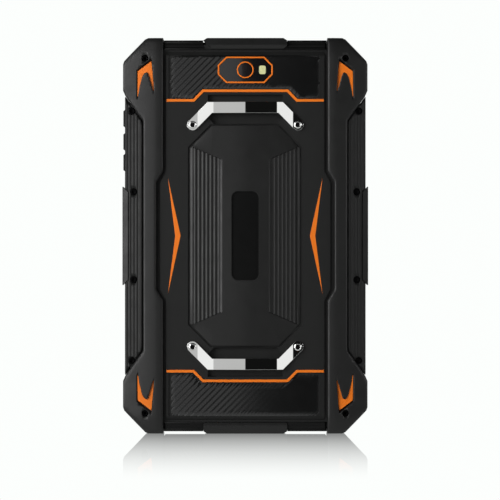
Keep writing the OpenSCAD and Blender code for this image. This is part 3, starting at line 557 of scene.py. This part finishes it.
def ribbed_panel(node, outline, z_from, window=None):
    """Panel with slanting ribs that fade out to its right. The window is the half width, half height
    and cut-off corner of the place that is sunk under the camera frame."""
    def back(x, z, d):
        wave = math.cos(2 * math.pi * (x - (z - z_from)) / RIB_PITCH)
        fade = 1 - 0.95 * smooth(x, -30, 6)
        sunk = 0
        if window and abs(x) < window[0] and abs(z - z_from) < window[1]:
            sunk = 0.5 * smooth(window[2] - abs(x) - abs(z - z_from), 0, 0.5)
        return -5.45 + 0.0003 * x * x - RIB_DEPTH * fade * wave + rolled(d, 0.2) + sunk

    xs = [x for x, z in outline]
    zs = [z - z_from for x, z in outline]
    reach = steps(min(xs) - max(zs), max(xs) - min(zs), RIB_PITCH / 10)
    cuts = [((offset, z_from), (1, -1)) for offset in reach] + upright(steps(-42, 42, 2))
    if window:
        a, b, corner = window
        cuts += upright([-a - 0.05, -a, a, a + 0.05])
        cuts += level([z_from + h for h in (-b - 0.05, -b, b, b + 0.05)])
        for sx, sz in four_ways(1, 1):
            cuts += [((sx * (corner - off), z_from), (sx, sz)) for off in (0, 0.5)]
    panel = relief(outline, back, -4.7, cuts, rings=(0.05, 0.12, 0.2, 0.26))
    stands_for(finished(panel, node + "_ribs"), node)


def claw(node, flip, mirrored):
    """Painted inlay, let into the bumper a little less tilted than the rubber round it."""
    def back(x, z, d):
        return Y_CREST + 0.9 + 0.35 * (case_side(x, z) - Y_CREST) + rolled(d, 0.15)

    inlay = relief(flip(CLAW), back, -5.45, upright(steps(-61, -52, 0.9)), rings=(0.05, 0.15))
    stands_for(finished(inlay, node + "_inlay", mirrored), node)


def screw_heads(node, spots, rings, tip):
    """Screw heads, each with a short stub of its shank down to the tip. The rings are (radius, level),
    from the floor of the socket to the foot of the head."""
    profile = rings + [(0.9, rings[-1][1]), (0.9, tip)]
    sides = 32
    turns = [2 * math.pi * i / sides for i in range(sides)]
    bm = bmesh.new()
    for cx, cz in spots:
        loops = []
        for r, y in profile:
            loops.append([bm.verts.new((cx + r * math.cos(t), y, cz + r * math.sin(t))) for t in turns])
        # The socket's floor and its lower wall get the near-black painted shade
        bm.faces.new(loops[0]).material_index = 1
        for depth, (inner, outer) in enumerate(zip(loops, loops[1:])):
            for i in range(sides):
                j = (i + 1) % sides
                bm.faces.new((inner[i], inner[j], outer[j], outer[i])).material_index = int(depth == 0)
        bm.faces.new(loops[-1])
    piece = stands_for(finished(bm, node + "_heads", sharp=50), node)
    if SLOTS[node] == "chrome":
        piece.data.materials[0] = MATERIALS["chrome_turned"]
    piece.data.materials.append(MATERIALS["socket_painted_shade"])


def domed(radius, socket, crown, dome):
    """Profile of a screw head whose rim starts dome below its crown."""
    return [
        (socket, crown + 0.9), (socket, crown + 0.05), (socket + 0.08, crown), (0.75 * radius, crown),
        (0.93 * radius, crown + 0.4 * dome), (radius, crown + dome), (radius, crown + 1.2),
    ]


def edge_strip(node, outline, level_back, flip, body="housing"):
    """Piece along the top or bottom edge, whose back leans away from the middle of the case."""
    def back(x, z, d):
        return level_back(abs(z)) + 0.6 * max(0, abs(x) - 45.5) + rolled(d, 0.3)

    levels = steps(105.7, 112.9, 0.3)
    cuts = level(levels + [-z for z in levels]) + upright([-45.5, 45.5])
    top = relief(flip(outline), back, -3.5, cuts, rings=(0.06, 0.15, 0.3))
    piece = finished(top, node + "_back")
    with_front_of(piece, node, -3.9)
    stands_for(piece, node, body)
    # The edge trims get the darker copy of case_plastic: painted shade on their backs
    if SLOTS[node] == "case_plastic":
        piece.data.materials[0] = MATERIALS["trim_painted_shade"]


def trim_level(z):
    """Level of the edge trims' backs, with two grooves along them."""
    grooves = [0.3 * (1 - smooth(abs(z - middle), 0.1, 0.4)) for middle in (108.0, 110.0)]
    return -5.9 + 0.37 * max(0, z - 106.6) + sum(grooves)


def cap_level(z):
    """Level of the backs of the port cover and the bottom guard."""
    return -6.6 + 0.3 * max(0, z - 109.0) + 0.5 * max(0, 108.3 - z)


PANEL = [
    (-43.7, 103.0), (-43.7, 78.7), (-30.1, 78.7), (-24.6, 84.1),
    (24.6, 84.1), (30.1, 78.7), (43.7, 78.7), (43.7, 103.0),
]
EDGE_TRIM = [
    (-46.4, 111.8), (-24.1, 111.8), (-24.1, 106.6), (24.1, 106.6),
    (24.1, 111.8), (46.4, 111.8), (46.4, 106.4), (-46.4, 106.4),
]
CAP = [
    (-21.8, 113), (21.8, 113), (23.9, 111.6), (23.9, 108.8), (21.8, 106.8),
    (-19.8, 106.8), (-19.8, 108.8), (-21.8, 108.8), (-23.9, 111.6),
]
GUARD = [(-21.8, 113), (21.8, 113), (23.9, 111.6), (23.9, 106.8), (-23.9, 106.8), (-23.9, 111.6)]

for side, mirrored in (("left", False), ("right", True)):
    bumper("bumper_" + side, mirrored)
    rail("rib_rail_" + side, mirrored)
    insert("side_insert_" + side, mirrored)
    claw("claw_top_" + side, list, mirrored)
    claw("claw_bottom_" + side, upside_down, mirrored)
rail_spots = [spot for screw in RAIL_SCREWS for spot in four_ways(*screw)]
screw_heads("corner_screws", four_ways(*CORNER_SCREW), domed(1.8, 0.8, -6.1, 0.15), -2.5)
screw_heads("rail_screws", rail_spots, domed(2.0, 0.8, -4.8, 0.12), -1.5)
screw_heads("bracket_screws", four_ways(*BRACKET_SCREW), domed(2.15, 1.4, -7.9, 0.4), -2.5)
edge_strip("top_edge_trim", EDGE_TRIM, trim_level, list)
edge_strip("bottom_edge_trim", EDGE_TRIM, trim_level, upside_down)
edge_strip("port_cover", CAP, cap_level, list, body="port_cover")
edge_strip("bottom_guard", GUARD, cap_level, upside_down)
palm_pad()
label()
ribbed_panel("texture_panel_top", PANEL, 94.7, (15.2, 7.0, 17.9))
ribbed_panel("texture_panel_bottom", upside_down(PANEL), -94.7)


# ---------- Camera ----------

camera_data = bpy.data.cameras.new("camera")
camera_data.lens = 120
camera_data.sensor_width = 36
camera = bpy.data.objects.new("camera", camera_data)
bpy.context.collection.objects.link(camera)
camera.location = (2.7 * MM, -0.957, 104.9 * MM)
camera.rotation_euler = (math.radians(90), 0, 0)
bpy.context.scene.camera = camera


# ---------- Floor ----------

PAPER_WHITE = (0.975, 0.995, 0.98, 1)
FLOOR_REACH = 40
MIRROR_SHARE = 0.75
MIRROR_FADE = 0.185


def floor_material():
    """Pale floor whose mirror image of the object fades out over MIRROR_FADE from its footprint."""
    made = bpy.data.materials.new("pale_floor")
    made.use_nodes = True
    tree = made.node_tree
    tree.nodes.clear()
    vector = "ShaderNodeVectorMath"
    place = tree.nodes.new("ShaderNodeNewGeometry").outputs["Position"]
    quarter = maths(tree, "ABSOLUTE", place, kind=vector)
    past_object = maths(tree, "SUBTRACT", quarter, (cad_high.x, cad_high.y, 1), kind=vector)
    outside = maths(tree, "MAXIMUM", past_object, (0, 0, 0), kind=vector)
    distance = maths(tree, "LENGTH", outside, kind=vector)
    fade = maths(tree, "POWER", map_range(tree, distance, 0, MIRROR_FADE, 1, 0), 1.5)
    share = maths(tree, "MULTIPLY", fade, MIRROR_SHARE)
    white = tree.nodes.new("ShaderNodeEmission")
    white.inputs["Color"].default_value = PAPER_WHITE
    gloss = tree.nodes.new("ShaderNodeBsdfGlossy")
    gloss.inputs["Color"].default_value = (1, 1, 1, 1)
    gloss.inputs["Roughness"].default_value = 0
    mix = tree.nodes.new("ShaderNodeMixShader")
    out = tree.nodes.new("ShaderNodeOutputMaterial")
    tree.links.new(share, mix.inputs["Fac"])
    tree.links.new(white.outputs[0], mix.inputs[1])
    tree.links.new(gloss.outputs[0], mix.inputs[2])
    tree.links.new(mix.outputs[0], out.inputs["Surface"])
    return made


def studio_floor():
    """Plain floor just below the resting surface."""
    floor_data = bpy.data.meshes.new("floor")
    corners = [(-1, -1), (1, -1), (1, 1), (-1, 1)]
    floor_data.from_pydata([(x * FLOOR_REACH, y * FLOOR_REACH, 0) for x, y in corners], [], [(0, 1, 2, 3)])
    floor_data.materials.append(floor_material())
    floor = bpy.data.objects.new("floor", floor_data)
    floor.location.z = -0.05 * MM
    bpy.context.collection.objects.link(floor)
    floor.visible_diffuse = False
    floor.visible_glossy = False


studio_floor()


# ---------- Light ----------

def softbox(name, azimuth, elevation, distance, width, height, radiance):
    """A light aimed at the object, unseen in the floor. Azimuth 0 is over the camera, and the right
    of the camera is positive."""
    light_data = bpy.data.lights.new(name, "AREA")
    light_data.shape = "RECTANGLE"
    light_data.size = width
    light_data.size_y = height
    light_data.energy = radiance * math.pi * width * height
    light_data.use_nodes = True
    tree = light_data.node_tree
    rays = tree.nodes.new("ShaderNodeLightPath")
    unless_mirrored = maths(tree, "SUBTRACT", 1, rays.outputs["Is Singular Ray"])
    tree.links.new(unless_mirrored, tree.nodes["Emission"].inputs["Strength"])
    light = bpy.data.objects.new(name, light_data)
    bpy.context.collection.objects.link(light)
    a = math.radians(azimuth)
    e = math.radians(elevation)
    aim = Vector((math.sin(a) * math.cos(e), -math.cos(a) * math.cos(e), math.sin(e)))
    light.location = Vector((0, 0, MID_Z)) + distance * aim
    light.rotation_mode = "QUATERNION"
    light.rotation_quaternion = aim.to_track_quat("Z", "Y")
    light.visible_camera = False


softbox("grey_card", -6.5, 0, 1.3, 0.28, 1.0, 0.60)
softbox("left_box", -20, 0, 1.3, 0.24, 1.0, 1.04)
softbox("key", -52, 8, 1.3, 0.95, 1.1, 7.2)
softbox("right_box", 19, 0, 1.3, 0.16, 1.0, 1.04)
softbox("right_fill", 75, 10, 1.4, 0.5, 0.9, 0.5)
softbox("right_key", 68, 10, 1.3, 0.6, 0.6, 4.2)
softbox("screen_key", 215, 25, 1.4, 0.9, 0.9, 1.6)
softbox("screen_fill", 140, 35, 1.4, 0.5, 0.7, 1.0)


def studio_world():
    """White for the camera and for the floor's mirror image. For lighting it is white behind the
    object and dark before it, and reflections that look down see a pale floor."""
    world = bpy.data.worlds.new("studio")
    bpy.context.scene.world = world
    world.use_nodes = True
    tree = world.node_tree
    tree.nodes.clear()
    coords = tree.nodes.new("ShaderNodeTexCoord")
    parts = tree.nodes.new("ShaderNodeSeparateXYZ")
    tree.links.new(coords.outputs["Generated"], parts.inputs[0])
    rays = tree.nodes.new("ShaderNodeLightPath").outputs
    behind = map_range(tree, parts.outputs["Y"], 0.1, 0.6, 0.007, 0.6)
    above_floor = map_range(tree, parts.outputs["Z"], -0.45, -0.05, 0.1, 1)
    backdrop = maths(tree, "MULTIPLY", behind, above_floor)
    below = map_range(tree, parts.outputs["Z"], -0.20, -0.42, 0, 0.75)
    floor_light = maths(tree, "MULTIPLY", below, rays["Is Glossy Ray"])
    room = maths(tree, "MAXIMUM", backdrop, floor_light)
    plain = maths(tree, "MAXIMUM", rays["Is Camera Ray"], rays["Is Singular Ray"])
    seen = maths(tree, "MAXIMUM", room, plain)
    back = tree.nodes.new("ShaderNodeBackground")
    back.inputs["Color"].default_value = PAPER_WHITE
    out = tree.nodes.new("ShaderNodeOutputWorld")
    tree.links.new(seen, back.inputs["Strength"])
    tree.links.new(back.outputs[0], out.inputs["Surface"])


studio_world()
bpy.context.scene.view_settings.view_transform = "Standard"
bpy.context.scene.view_settings.look = "None"
